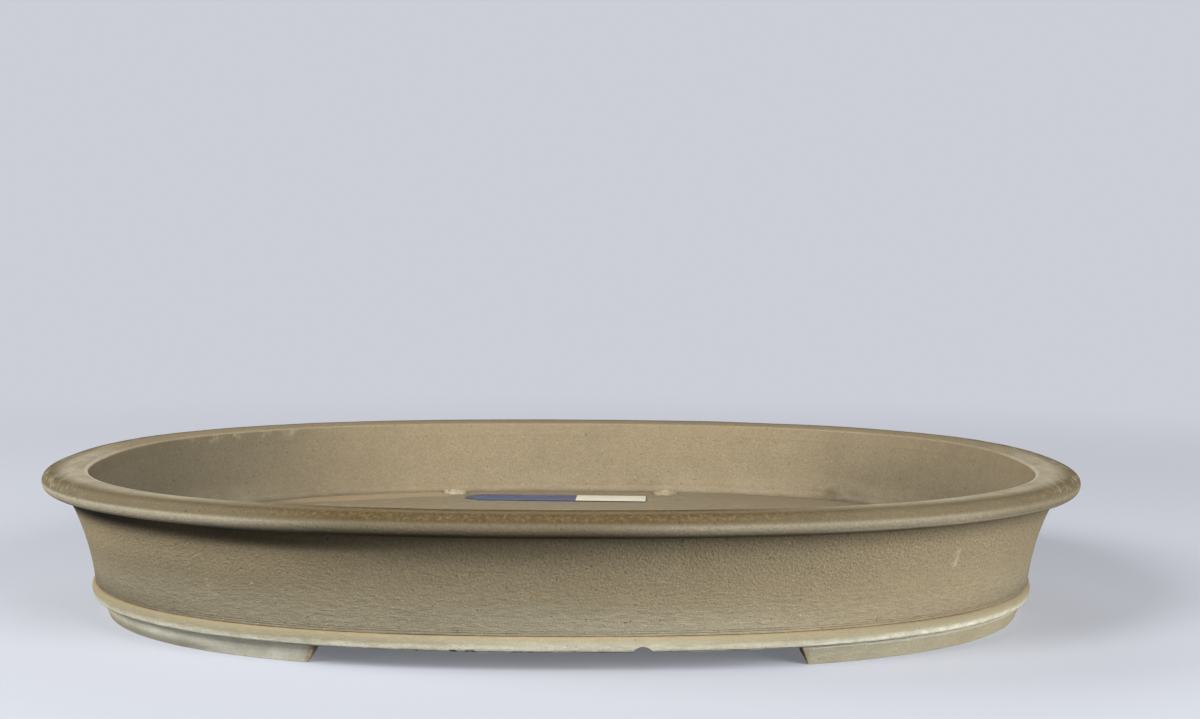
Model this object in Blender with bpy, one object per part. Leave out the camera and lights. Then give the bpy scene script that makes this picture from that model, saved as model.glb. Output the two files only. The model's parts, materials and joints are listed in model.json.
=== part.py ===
"""Oval unglazed bonsai pot with an outturned rim, a base band and two end feet.

The pot is built as a potter builds it. A floor slab carries a flaring wall on a
mitred edge, a heavy rim is luted on the wall's bevelled top, a belt of clay hides
the joint round the base, and two C-shaped feet stand under the ends, with an arch
between them at the front and the back. A plant tag with a paper sticker lies on
the floor. Every clay member is a profile swept round one oval, so all of them
share the same plan. A section is written as inset and height: inset is measured
inwards from the pot's outermost line, and height from the ground.

Units are metres, +Z up. The origin is on the ground under the middle of the pot.
"""

import math

import bmesh
import bpy
from mathutils import Vector

# Plan of the pot
POT_LENGTH = 0.600
POT_WIDTH = 0.456
PLAN_FULLNESS = 2.34          # 2 is an ellipse, and more is squarer
PLAN_STATIONS = 96

# Heights from the ground
POT_HEIGHT = 0.0824
FLOOR_TOP = 0.0340
FLOOR_UNDERSIDE = 0.0140
BAND_TOP = 0.0190
BAND_BOTTOM = 0.0108

# Rim
RIM_WIDTH = 0.0250
RIM_NOSE_RADIUS = 0.0056
RIM_NOSE_DROP = 0.0002        # the nose is lower than the crown by this
RIM_NOSE_SPREAD = 84.0        # degrees of the nose above and below its outermost point
RIM_NOSE_STEPS = 8
RIM_CROWN_INSET = 0.0140
RIM_INNER_DROP = 0.0012       # the inner edge is lower than the crown by this
RIM_EDGE_RADIUS = 0.0012
RIM_EDGE_ARC = (100.0, 170.0)
RIM_EDGE_STEPS = 2
RIM_DEPTH = 0.0134            # from the crown down to the outer end of the seat
RIM_SEAT_INSET = 0.0130
RIM_SEAT_RISE = 0.0040        # the seat climbs this much from outside to inside

# Wall
WALL_FOOT_INSET = 0.0278
WALL_BELLY = (0.0260, 0.336)  # inset and share of the wall's height: handle near the foot
WALL_FLARE = (0.0218, 0.658)  # the same for the handle below the rim
WALL_INNER_FOOT_INSET = 0.0404
WALL_CURVE_STEPS = 8
COVE_RADIUS = 0.0045
COVE_STEPS = 3
COVE_LIP = 0.0006             # thickness of the cove where it runs out on the floor

# Floor slab
SLAB_EDGE_INSET = 0.0312
SLAB_MITRE_RUN = 0.0103

# Base band
BAND_BULGE_INSET = 0.0262
BAND_TOP_INSET = 0.0281
BAND_BOTTOM_INSET = 0.0296
BAND_BULGE_HEIGHT = 0.0162
BAND_SHOULDER = (0.0006, 0.0006)  # the round above the bulge: set back, and lifted
BAND_BELLY_SETBACK = 0.0010       # the round below the bulge

# Feet
FOOT_TOP_INSET = 0.0338
FOOT_BOTTOM_INSET = 0.0362
FOOT_TOP_WIDTH = 0.0300
FOOT_BOTTOM_WIDTH = 0.0260
FOOT_EDGE = 0.0012
ARCH_CENTRE_X = -0.0015
ARCH_WIDTH_AT_GROUND = 0.2470
ARCH_WIDTH_AT_BAND = 0.2386
ARCH_HEADROOM = 0.0100        # the arch cutter reaches this far over the feet

# Holes through the floor
HOLES_CENTRE_X = -0.0043
DRAIN_DIAMETER = 0.0360
DRAIN_END_DISTANCE = 0.1750   # from the pot's outermost line at its end
WIRE_HOLE_DIAMETER = 0.0120
WIRE_HOLE_SPACING = 0.1496    # along the pot
WIRE_HOLE_SIDE_DISTANCE = 0.0570  # from the pot's outermost line at its side
HOLE_SIDES = 24
CUTTER_OVERRUN = 0.0050

# Plant tag and its paper sticker
TAG_CENTRE_X = -0.0076
TAG_SIDE_DISTANCE = 0.0813    # from the pot's outermost line at the back
TAG_TURN = -3.2               # degrees: the square end lies nearer the front
TAG_LENGTH = 0.1248
TAG_WIDTH = 0.0246
TAG_THICKNESS = 0.0008
TAG_POINT_LENGTH = 0.0110
TAG_POINT_BLUNT = 0.0090
STICKER_LENGTH = 0.0484
STICKER_WIDTH = 0.0232
STICKER_OVERHANG = 0.0010     # the sticker stands past the tag's square end by this
STICKER_THICKNESS = 0.0004

# Joints between neighbouring pieces
CLEARANCE = 0.0003

# Finishes: base colour and roughness
FLOOR_CLAY = ((0.28, 0.23, 0.16), 0.85)
UNGLAZED_CLAY = ((0.30, 0.245, 0.165), 0.78)
RIM_CLAY = ((0.24, 0.19, 0.12), 0.62)
BAND_CLAY = ((0.42, 0.375, 0.28), 0.82)
FOOT_CLAY = ((0.42, 0.375, 0.28), 0.85)
TAG_PLASTIC = ((0.05, 0.075, 0.19), 0.45)
STICKER_PAPER = ((0.66, 0.64, 0.55), 0.70)

SMOOTH_ANGLE = 38.0           # edges that turn more than this stay sharp


def clear_scene():
    """Remove what the scene holds, so that only the pot is built."""
    for item in list(bpy.data.objects):
        bpy.data.objects.remove(item, do_unlink=True)


def make_collection(name):
    """Add a collection to the scene and return it."""
    collection = bpy.data.collections.new(name)
    bpy.context.scene.collection.children.link(collection)
    return collection


def make_material(name, look):
    """A plain Principled material from a colour and a roughness."""
    colour, roughness = look
    material = bpy.data.materials.new(name)
    material.use_nodes = True
    shader = material.node_tree.nodes["Principled BSDF"]
    shader.inputs["Base Color"].default_value = (*colour, 1.0)
    shader.inputs["Roughness"].default_value = roughness
    shader.inputs["Metallic"].default_value = 0.0
    return material


def plan_outline():
    """Points of the pot's outermost line, anticlockwise from +X."""
    half_length = POT_LENGTH / 2
    half_width = POT_WIDTH / 2
    points = []
    for station in range(PLAN_STATIONS):
        turn = math.tau * station / PLAN_STATIONS
        along = half_length * math.cos(turn)
        across = half_width * math.sin(turn)
        fullness = (abs(along / half_length) ** PLAN_FULLNESS
                    + abs(across / half_width) ** PLAN_FULLNESS)
        reach = fullness ** (-1.0 / PLAN_FULLNESS)
        points.append(Vector((along * reach, across * reach, 0.0)))
    return points


def inset_outline(inset, height):
    """The plan drawn inwards by the inset, square to the outermost line."""
    outline = plan_outline()
    moved = []
    for index, point in enumerate(outline):
        before = (point - outline[index - 1]).normalized()
        after = (outline[(index + 1) % PLAN_STATIONS] - point).normalized()
        tangent = (before + after).normalized()
        inward = Vector((-tangent.y, tangent.x, 0.0))
        moved.append(point + inward * inset + Vector((0.0, 0.0, height)))
    return moved


def arc(centre, radius, start, end, steps):
    """Section points on an arc. Angles are in degrees: 0 is outwards and 90 is up."""
    points = []
    for step in range(steps + 1):
        angle = math.radians(start + (end - start) * step / steps)
        points.append((centre[0] - radius * math.cos(angle),
                       centre[1] + radius * math.sin(angle)))
    return points


def bezier(start, handle_a, handle_b, end, steps):
    """Section points on a cubic curve from start to end."""
    points = []
    for step in range(steps + 1):
        t = step / steps
        weights = ((1 - t) ** 3, 3 * t * (1 - t) ** 2, 3 * t * t * (1 - t), t ** 3)
        corners = (start, handle_a, handle_b, end)
        points.append(tuple(sum(w * c[axis] for w, c in zip(weights, corners))
                            for axis in (0, 1)))
    return points


def make_curve(name, points, closed):
    """A polygonal curve object through the points."""
    data = bpy.data.curves.new(name, "CURVE")
    data.dimensions = "3D"
    spline = data.splines.new("POLY")
    spline.points.add(len(points) - 1)
    for spline_point, point in zip(spline.points, points):
        spline_point.co = (*point, 1.0)
    spline.use_cyclic_u = closed
    return bpy.data.objects.new(name, data)


def curve_to_mesh(curve, name):
    """Turn a curve object into a closed mesh object and remove the curve."""
    bpy.context.view_layer.update()
    graph = bpy.context.evaluated_depsgraph_get()
    mesh = bpy.data.meshes.new_from_object(curve.evaluated_get(graph))
    mesh.name = name
    shell = bmesh.new()
    shell.from_mesh(mesh)
    bmesh.ops.remove_doubles(shell, verts=shell.verts, dist=0.00001)
    bmesh.ops.recalc_face_normals(shell, faces=shell.faces)
    shell.to_mesh(mesh)
    shell.free()
    place = curve.matrix_world.copy()
    bpy.data.objects.remove(curve, do_unlink=True)
    placed = bpy.data.objects.new(name, mesh)
    placed.matrix_world = place
    return placed


def sweep(name, section, path_points, closed, collection):
    """Sweep a closed section of inset and height along the plan."""
    outline = [(-inset, height, 0.0) for inset, height in section]
    profile = make_curve(name + "_profile", outline, True)
    profile.data.dimensions = "2D"
    path = make_curve(name + "_path", path_points, closed)
    path.data.twist_mode = "Z_UP"
    path.data.bevel_mode = "OBJECT"
    path.data.bevel_object = profile
    path.data.use_fill_caps = not closed
    collection.objects.link(profile)
    collection.objects.link(path)
    solid = curve_to_mesh(path, name)
    collection.objects.link(solid)
    bpy.data.objects.remove(profile, do_unlink=True)
    return solid


def finish(solid, material):
    """Give a solid its material and smooth its rounds."""
    solid.data.materials.clear()
    solid.data.materials.append(material)
    solid.data.shade_smooth()
    solid.data.set_sharp_from_angle(angle=math.radians(SMOOTH_ANGLE))
    return solid


def cut(solid, cutter, label):
    """Subtract a cutter from a solid."""
    modifier = solid.modifiers.new(label, "BOOLEAN")
    modifier.operation = "DIFFERENCE"
    modifier.solver = "EXACT"
    modifier.object = cutter
    return modifier


def hide_cutter(cutter, cutters):
    """Keep a cutter out of the render and drawn as wire."""
    for holder in list(cutter.users_collection):
        holder.objects.unlink(cutter)
    cutters.objects.link(cutter)
    cutter.hide_render = True
    cutter.display_type = "WIRE"
    return cutter


def inner_wall_inset(height):
    """Inset of the pot's straight inner face at a height."""
    edge_height = POT_HEIGHT - RIM_INNER_DROP
    slope = (WALL_INNER_FOOT_INSET - RIM_WIDTH) / (edge_height - FLOOR_TOP)
    return RIM_WIDTH + (edge_height - height) * slope


def rim_seat_line(lift):
    """The two ends of the bevelled seat between wall and rim, raised by the lift."""
    outer_height = POT_HEIGHT - RIM_DEPTH + lift
    inner_height = outer_height + RIM_SEAT_RISE
    return (RIM_SEAT_INSET, outer_height), (inner_wall_inset(inner_height), inner_height)


def mitre_inset(height, clearance):
    """Inset of the slanted joint between floor slab and wall at a height."""
    rise = FLOOR_TOP - BAND_TOP
    sideways = clearance * math.hypot(SLAB_MITRE_RUN, rise) / rise
    return SLAB_EDGE_INSET + (height - BAND_TOP) * SLAB_MITRE_RUN / rise - sideways


def rim_section():
    """Outturned lip: bevelled seat, round nose, low crown and a worn inner edge."""
    outer_seat, inner_seat = rim_seat_line(CLEARANCE)
    nose_centre = (RIM_NOSE_RADIUS, POT_HEIGHT - RIM_NOSE_DROP - RIM_NOSE_RADIUS)
    nose = arc(nose_centre, RIM_NOSE_RADIUS, -RIM_NOSE_SPREAD, RIM_NOSE_SPREAD, RIM_NOSE_STEPS)
    edge_height = POT_HEIGHT - RIM_INNER_DROP
    edge_centre = (RIM_WIDTH - RIM_EDGE_RADIUS, edge_height - RIM_EDGE_RADIUS)
    edge = arc(edge_centre, RIM_EDGE_RADIUS, *RIM_EDGE_ARC, RIM_EDGE_STEPS)
    return [outer_seat, *nose, (RIM_CROWN_INSET, POT_HEIGHT), *edge, inner_seat]


def wall_section():
    """Concave flaring wall with a cove that runs out on the floor."""
    outer_seat, inner_seat = rim_seat_line(0.0)
    foot_height = BAND_TOP + CLEARANCE
    rise = outer_seat[1] - foot_height
    belly = (WALL_BELLY[0], foot_height + WALL_BELLY[1] * rise)
    flare = (WALL_FLARE[0], foot_height + WALL_FLARE[1] * rise)
    outer = bezier((WALL_FOOT_INSET, foot_height), belly, flare, outer_seat, WALL_CURVE_STEPS)
    floor_seat = FLOOR_TOP + CLEARANCE
    cove_height = floor_seat + COVE_LIP + COVE_RADIUS
    cove_centre = (inner_wall_inset(cove_height) + COVE_RADIUS, cove_height)
    cove = arc(cove_centre, COVE_RADIUS, 0.0, -90.0, COVE_STEPS)
    toe_inset = cove[-1][0]
    toe = [(toe_inset, floor_seat), (mitre_inset(floor_seat, CLEARANCE), floor_seat)]
    heel = [(mitre_inset(foot_height, CLEARANCE), foot_height)]
    return [*outer, inner_seat, *cove, *toe, *heel]


def band_section():
    """Belt of clay with a flat back and a rounded face."""
    back = SLAB_EDGE_INSET - CLEARANCE
    shoulder = (BAND_BULGE_INSET + BAND_SHOULDER[0],
                (BAND_TOP + BAND_BULGE_HEIGHT) / 2 + BAND_SHOULDER[1])
    belly = (BAND_BULGE_INSET + BAND_BELLY_SETBACK, (BAND_BOTTOM + BAND_BULGE_HEIGHT) / 2)
    return [(back, BAND_TOP), (BAND_TOP_INSET, BAND_TOP), shoulder,
            (BAND_BULGE_INSET, BAND_BULGE_HEIGHT), belly,
            (BAND_BOTTOM_INSET, BAND_BOTTOM), (back, BAND_BOTTOM)]


def foot_section():
    """Battered foot strip, luted under the floor slab."""
    top = FLOOR_UNDERSIDE - CLEARANCE
    return [(FOOT_TOP_INSET, top), (FOOT_BOTTOM_INSET, FOOT_EDGE),
            (FOOT_BOTTOM_INSET + FOOT_EDGE, 0.0),
            (FOOT_BOTTOM_INSET + FOOT_BOTTOM_WIDTH, 0.0),
            (FOOT_TOP_INSET + FOOT_TOP_WIDTH, top)]


def make_floor_slab(collection):
    """Oval slab with an upright edge and a mitre above it, lofted through three outlines."""
    levels = ((SLAB_EDGE_INSET, FLOOR_UNDERSIDE), (SLAB_EDGE_INSET, BAND_TOP),
              (mitre_inset(FLOOR_TOP, 0.0), FLOOR_TOP))
    slab = bmesh.new()
    rings = [[slab.verts.new(point) for point in inset_outline(inset, height)]
             for inset, height in levels]
    for lower, upper in zip(rings[:-1], rings[1:]):
        for index in range(PLAN_STATIONS):
            after = (index + 1) % PLAN_STATIONS
            slab.faces.new((lower[index], lower[after], upper[after], upper[index]))
    slab.faces.new(list(reversed(rings[0])))
    slab.faces.new(rings[-1])
    mesh = bpy.data.meshes.new("floor_slab")
    slab.to_mesh(mesh)
    slab.free()
    solid = bpy.data.objects.new("floor_slab", mesh)
    collection.objects.link(solid)
    return solid


def hole_cutter(name, diameter, x, y, cutters):
    """Upright cylinder that passes through the floor slab."""
    depth = FLOOR_TOP - FLOOR_UNDERSIDE + 2 * CUTTER_OVERRUN
    middle = (FLOOR_TOP + FLOOR_UNDERSIDE) / 2
    bpy.ops.mesh.primitive_cylinder_add(vertices=HOLE_SIDES, radius=diameter / 2,
                                        depth=depth, location=(x, y, middle))
    cutter = bpy.context.active_object
    cutter.name = name
    return hide_cutter(cutter, cutters)


def cut_floor_holes(slab, cutters):
    """Drain holes on the long axis and a wire hole near each corner."""
    for side in (-1, 1):
        x = HOLES_CENTRE_X + side * (POT_LENGTH / 2 - DRAIN_END_DISTANCE)
        cut(slab, hole_cutter("drain_cutter", DRAIN_DIAMETER, x, 0.0, cutters), "drain")
        for end in (-1, 1):
            x = HOLES_CENTRE_X + side * WIRE_HOLE_SPACING / 2
            y = end * (POT_WIDTH / 2 - WIRE_HOLE_SIDE_DISTANCE)
            cutter = hole_cutter("wire_hole_cutter", WIRE_HOLE_DIAMETER, x, y, cutters)
            cut(slab, cutter, "wire_hole")


def arch_cutter(cutters):
    """Prism through front and back that leaves the slanted ends of the feet."""
    top = FLOOR_UNDERSIDE + ARCH_HEADROOM
    slant = (ARCH_WIDTH_AT_GROUND - ARCH_WIDTH_AT_BAND) / 2 / BAND_BOTTOM
    half_ground = ARCH_WIDTH_AT_GROUND / 2
    half_low = half_ground + slant * CUTTER_OVERRUN
    half_high = half_ground - slant * top
    outline = [(-half_low, -CUTTER_OVERRUN, 0.0), (half_low, -CUTTER_OVERRUN, 0.0),
               (half_high, top, 0.0), (-half_high, top, 0.0)]
    curve = make_curve("arch_cutter", outline, True)
    curve.data.dimensions = "2D"
    curve.data.fill_mode = "BOTH"
    curve.data.extrude = POT_WIDTH
    curve.rotation_euler = (math.radians(90.0), 0.0, 0.0)
    curve.location = (ARCH_CENTRE_X, 0.0, 0.0)
    cutters.objects.link(curve)
    cutter = curve_to_mesh(curve, "arch_cutter")
    cutters.objects.link(cutter)
    return hide_cutter(cutter, cutters)


def make_foot(name, side, arch, collection):
    """One end foot: the foot section swept round that end and trimmed by the arch."""
    outline = plan_outline()
    quarter = PLAN_STATIONS // 4
    first = -quarter if side > 0 else quarter
    path = [outline[(first + step) % PLAN_STATIONS] for step in range(2 * quarter + 1)]
    foot = sweep(name, foot_section(), path, False, collection)
    cut(foot, arch, "arch")
    return foot


def make_plate(name, outline, bottom, thickness, collection):
    """Flat plate over an outline, standing on a height."""
    curve = make_curve(name, outline, True)
    curve.data.dimensions = "2D"
    curve.data.fill_mode = "BOTH"
    curve.data.extrude = thickness / 2
    curve.location = (0.0, 0.0, bottom + thickness / 2)
    collection.objects.link(curve)
    plate = curve_to_mesh(curve, name)
    collection.objects.link(plate)
    return plate


def lay_on_floor(outline):
    """Points given from the tag's middle, turned as the tag lies on the floor."""
    turn = math.radians(TAG_TURN)
    middle_y = POT_WIDTH / 2 - TAG_SIDE_DISTANCE
    return [(TAG_CENTRE_X + along * math.cos(turn) - across * math.sin(turn),
             middle_y + along * math.sin(turn) + across * math.cos(turn), 0.0)
            for along, across in outline]


def make_plant_tag(collection):
    """Plastic strip with one blunt pointed end, flat on the floor."""
    end, side, blunt = TAG_LENGTH / 2, TAG_WIDTH / 2, TAG_POINT_BLUNT / 2
    shoulder = TAG_POINT_LENGTH - end
    outline = [(end, -side), (end, side), (shoulder, side), (-end, blunt), (-end, -blunt),
               (shoulder, -side)]
    return make_plate("plant_tag", lay_on_floor(outline), FLOOR_TOP + CLEARANCE,
                      TAG_THICKNESS, collection)


def make_tag_sticker(collection):
    """Paper sticker on the square end of the tag."""
    right = TAG_LENGTH / 2 + STICKER_OVERHANG
    left = right - STICKER_LENGTH
    side = STICKER_WIDTH / 2
    outline = [(left, -side), (right, -side), (right, side), (left, side)]
    bottom = FLOOR_TOP + TAG_THICKNESS + 2 * CLEARANCE
    return make_plate("tag_sticker", lay_on_floor(outline), bottom, STICKER_THICKNESS,
                      collection)


def main():
    """Build the pot."""
    clear_scene()
    pot = make_collection("oval_bonsai_pot")
    cutters = make_collection("cutters")
    plan = plan_outline()

    slab = finish(make_floor_slab(pot), make_material("floor_clay", FLOOR_CLAY))
    cut_floor_holes(slab, cutters)
    finish(sweep("wall", wall_section(), plan, True, pot),
           make_material("unglazed_clay", UNGLAZED_CLAY))
    finish(sweep("rim", rim_section(), plan, True, pot), make_material("rim_clay", RIM_CLAY))
    finish(sweep("base_band", band_section(), plan, True, pot),
           make_material("band_clay", BAND_CLAY))

    arch = arch_cutter(cutters)
    for name, side in (("foot_left", -1), ("foot_right", 1)):
        finish(make_foot(name, side, arch, pot), make_material(name + "_clay", FOOT_CLAY))

    finish(make_plant_tag(pot), make_material("tag_plastic", TAG_PLASTIC))
    finish(make_tag_sticker(pot), make_material("sticker_paper", STICKER_PAPER))


main()
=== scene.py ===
"""Oval unglazed bonsai pot: the visible pieces and their finishes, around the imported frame.

Every clay member is a section swept round one oval plan, as in the frame, with finer steps
and a potter's unevenness. A section is written as inset and height: inset is measured
inwards from the pot's outermost line, and height from the ground. Units are metres.
"""

import json
import math

import bpy
from mathutils import Matrix, Vector

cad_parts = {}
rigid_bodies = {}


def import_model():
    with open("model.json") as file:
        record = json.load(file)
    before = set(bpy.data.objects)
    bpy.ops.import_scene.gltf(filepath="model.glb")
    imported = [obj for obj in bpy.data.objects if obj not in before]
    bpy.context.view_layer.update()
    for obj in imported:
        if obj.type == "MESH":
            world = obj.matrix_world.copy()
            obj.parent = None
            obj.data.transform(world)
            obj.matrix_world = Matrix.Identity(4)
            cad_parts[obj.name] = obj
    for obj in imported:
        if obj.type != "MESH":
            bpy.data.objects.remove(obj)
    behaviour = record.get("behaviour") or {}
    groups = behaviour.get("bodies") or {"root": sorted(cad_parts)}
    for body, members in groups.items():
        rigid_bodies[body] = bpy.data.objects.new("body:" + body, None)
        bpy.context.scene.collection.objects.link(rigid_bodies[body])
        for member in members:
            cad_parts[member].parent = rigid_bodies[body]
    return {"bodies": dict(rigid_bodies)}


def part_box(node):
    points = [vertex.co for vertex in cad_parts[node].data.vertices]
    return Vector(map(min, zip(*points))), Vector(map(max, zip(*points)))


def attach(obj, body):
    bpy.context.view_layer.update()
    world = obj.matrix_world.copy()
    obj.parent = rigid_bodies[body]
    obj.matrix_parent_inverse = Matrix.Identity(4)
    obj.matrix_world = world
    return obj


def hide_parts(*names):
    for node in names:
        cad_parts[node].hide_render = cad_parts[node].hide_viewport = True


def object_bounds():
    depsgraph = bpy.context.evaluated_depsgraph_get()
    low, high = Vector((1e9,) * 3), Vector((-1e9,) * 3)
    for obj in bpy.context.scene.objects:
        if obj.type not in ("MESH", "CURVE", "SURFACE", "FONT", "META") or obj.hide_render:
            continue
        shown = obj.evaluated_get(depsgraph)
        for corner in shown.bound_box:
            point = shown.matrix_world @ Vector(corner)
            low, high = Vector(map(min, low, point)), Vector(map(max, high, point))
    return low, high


bl_info = {
    "name": "Oval bonsai pot",
    "version": (1, 0, 0),
    "blender": (4, 5, 0),
    "location": "View3D > Sidebar > Bonsai pot",
    "description": "Builds an unglazed oval bonsai pot with its rim, base band, feet and label",
    "category": "Object",
}

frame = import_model()
CAD_LOW, CAD_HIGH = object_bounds()
BODY = next(iter(frame["bodies"]))
FLOOR_UNDERSIDE, FLOOR_TOP = (corner.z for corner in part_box("floor_slab"))

# Plan of the pot, taken from the frame
HALF_LENGTH, HALF_WIDTH, POT_HEIGHT = CAD_HIGH
PLAN_FULLNESS = 2.34

# Joints and holes, as in the frame
INNER_EDGE = (0.0250, 0.0812)
INNER_FOOT = (0.0404, 0.0340)
RIM_SEAT = (0.0130, 0.0693)
RIM_SEAT_INNER_HEIGHT = 0.0733
SEAM = 0.0003  # gap of a luted joint
NOSE_RADIUS = 0.0056
NOSE_SPREAD = 84.0  # degrees of the nose above and below its outermost point
RIM_EDGE_RADIUS = 0.0012
COVE_RADIUS = 0.0045
COVE_HEIGHT = 0.0054
BAND_TOP = 0.0190
BAND_BOTTOM = 0.0108
SLAB_EDGE_INSET = 0.0312
SLAB_TOP_INSET = 0.0414
FOOT_TOP = 0.0137
FOOT_STRETCH = 1.008  # the feet follow a plan that is this much longer
ARCH_CENTRE_X = -0.0015
ARCH_HALF_AT_GROUND = 0.1235
ARCH_HALF_AT_BAND = 0.1193
HOLES_CENTRE_X = -0.0043
FOOT_CHIPS = {  # place, size and turn of each chip
    "foot_left": (((-0.1228, -0.1800, 0.0002), (0.0022, 0.0026, 0.0020), 0.3),
                  ((-0.1215, -0.1850, 0.0060), (0.0016, 0.0020, 0.0030), 0.9)),
    "foot_right": (((0.1190, -0.1865, 0.0085), (0.0012, 0.0016, 0.0011), 0.2),
                   ((0.1202, -0.1855, 0.0066), (0.0011, 0.0015, 0.0008), 1.1),
                   ((0.1204, -0.1845, 0.0047), (0.0013, 0.0015, 0.0009), 2.0),
                   ((0.1212, -0.1830, 0.0029), (0.0010, 0.0014, 0.0010), 0.6),
                   ((0.1208, -0.1795, 0.0002), (0.0022, 0.0024, 0.0014), 0.1))}
NOTCH_X = 0.0396
BAND_EDGE_HALF_WIDTH = 0.1996  # of the band's lower edge, at the middle of the pot
# Pits along the band's lower edge: place along the pot, and reach
BAND_PITS = ((-0.0795, 0.0010), (-0.0523, 0.0008), (-0.0440, 0.0011), (-0.0213, 0.0012),
             (-0.0147, 0.0008), (0.0206, 0.0010), (0.0235, 0.0007), (0.1680, 0.0008))
DRAIN_X = 0.1250
DRAIN_RADIUS = 0.0180
WIRE_HOLE_X = 0.0748
WIRE_HOLE_Y = 0.1710
WIRE_HOLE_RADIUS = 0.0060
TAG_MIDDLE = (-0.0076, 0.1467)
TAG_TURN = math.radians(-3.2)
TAG_LENGTH = 0.1248
TAG_WIDTH = 0.0246
TAG_POINT = (0.0110, 0.0045)  # length of the point, and half its blunt end
STICKER_LENGTH = 0.0484
STICKER_WIDTH = 0.0242
STICKER_OVERHANG = 0.0010
TAG_THICKNESS = 0.0004
STICKER_THICKNESS = 0.00012

# Camera that fits the photographed rim, band, feet and floor lines
CAMERA_PLACE = (0.00592, -0.9560, 0.19947)
CAMERA_PITCH = 0.061442
CAMERA_YAW = 0.015740
CAMERA_ROLL = 0.0063317
CAMERA_LENS = 47.64
SENSOR_WIDTH = 36.0

# Lamps: degrees to the right of straight ahead, degrees up, size and watts
LAMPS = (("key", 42.0, 23.0, 1.3, 67.0),
         ("low_right", 65.0, 6.5, 0.5, 18.0),
         ("low_left", -62.0, 6.5, 0.5, 12.0),
         ("left", -45.0, 35.0, 0.9, 45.0),
         ("far_left", -85.0, 27.0, 0.9, 29.0),
         ("back", 180.0, 35.0, 1.3, 14.0))
LAMP_DISTANCE = 2.4
FLOOR_RADIUS = 9.0
FLOOR_FADE = (0.55, 1.5)  # the floor runs out into the backdrop between these
NEAR_GLOW = 0.25
WORLD_LIGHT = 0.025

SMOOTH_ANGLE = 40.0  # degrees: a sharper bend stays an edge


def length(name, description, default, low, high):
    """A size that a user may change."""
    return bpy.props.FloatProperty(name=name, description=description, default=default,
                                   min=low, max=high, unit="LENGTH")


def tint(name, description, *colour):
    """A colour that a user may change."""
    return bpy.props.FloatVectorProperty(name=name, description=description, default=colour,
                                         subtype="COLOR", size=3, min=0.0, max=1.0)


class PotSizes(bpy.types.PropertyGroup):
    """Sizes of the hand-made detail."""

    stations: bpy.props.IntProperty(
        name="Steps round the plan", description="Stations of each sweep round the oval",
        default=384, min=96, max=768)
    unevenness: length("Unevenness", "Depth of the hollows left by hand work",
                       0.00045, 0.0, 0.002)
    unevenness_span: length("Unevenness span", "Distance between two hollows",
                            0.045, 0.005, 0.2)
    chip_width: length("Chip width", "Width of the largest chip in the base band",
                       0.0100, 0.001, 0.02)
    foot_edge: length("Foot end edge", "Roundness of the cut ends of the feet",
                      0.0012, 0.0002, 0.003)
    crumb_height: length("Wire hole rim", "Height of the torn clay round a wire hole",
                         0.0024, 0.0005, 0.004)
    tag_edge: length("Label edge", "Roundness of the plastic label's edges",
                     0.00018, 0.00005, 0.0003)


class PotColours(bpy.types.PropertyGroup):
    """Colours of the clay, its deposits, the label and the backdrop."""

    clay: tint("Clay", "Outside of the wall", 0.224, 0.185, 0.118)
    clay_grey: tint("Grey clay", "Lower part of the wall, where salts dull it",
                    0.228, 0.203, 0.142)
    clay_warm: tint("Warm clay", "Upper and right parts of the wall", 0.287, 0.234, 0.146)
    # also used for painted shade under the rim's nose and in the band's chips and notch
    clay_dark: tint("Dark clay", "Damp and worn areas", 0.075, 0.060, 0.038)
    inside: tint("Inside", "Inner face and floor", 0.232, 0.186, 0.117)
    inside_dark: tint("Stained inside", "Inner face at the left end", 0.130, 0.110, 0.075)
    rim: tint("Rim", "Nose of the rim", 0.150, 0.125, 0.080)
    patina: tint("Rim patina", "Brown film on top of the rim", 0.078, 0.056, 0.027)
    # also used for painted highlights on the rim's nose, painted light under its ends and painted
    # sheen on the crown at the ends
    worn: tint("Worn clay", "Edges rubbed bare", 0.440, 0.390, 0.290)
    band: tint("Band", "Base band and feet", 0.300, 0.266, 0.172)
    mineral: tint("Mineral deposit", "White salts left by hard water", 0.760, 0.745, 0.620)
    rust: tint("Rust stain", "Orange iron stain", 0.360, 0.235, 0.100)
    label: tint("Label", "Plastic of the plant label", 0.038, 0.054, 0.136)
    paper: tint("Paper", "Paper sticker on the label", 0.640, 0.600, 0.470)
    backdrop: tint("Backdrop", "Pale surround that the camera sees", 0.600, 0.620, 0.685)


# Sections and plan


def plan_place(turn, inset, height):
    """The point at a turn round the plan, moved inwards square to the outermost line."""
    along = HALF_LENGTH * math.cos(turn)
    across = HALF_WIDTH * math.sin(turn)
    fullness = (abs(along / HALF_LENGTH) ** PLAN_FULLNESS
                + abs(across / HALF_WIDTH) ** PLAN_FULLNESS)
    reach = fullness ** (-1.0 / PLAN_FULLNESS)
    x, y = along * reach, across * reach
    power = PLAN_FULLNESS - 1.0
    outward = Vector((math.copysign(abs(x / HALF_LENGTH) ** power / HALF_LENGTH, x),
                      math.copysign(abs(y / HALF_WIDTH) ** power / HALF_WIDTH, y), 0.0))
    return Vector((x, y, height)) - outward.normalized() * inset


def plan_line(stations, inset=0.0, height=0.0, first=0.0, last=1.0):
    """Points round the plan from one share of a full turn to another."""
    return [plan_place(math.tau * (first + (last - first) * step / stations), inset, height)
            for step in range(stations)]


def inner_face(height):
    """Inset of the pot's straight inner face at a height."""
    share = (INNER_EDGE[1] - height) / (INNER_EDGE[1] - INNER_FOOT[1])
    return INNER_EDGE[0] + (INNER_FOOT[0] - INNER_EDGE[0]) * share


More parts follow.
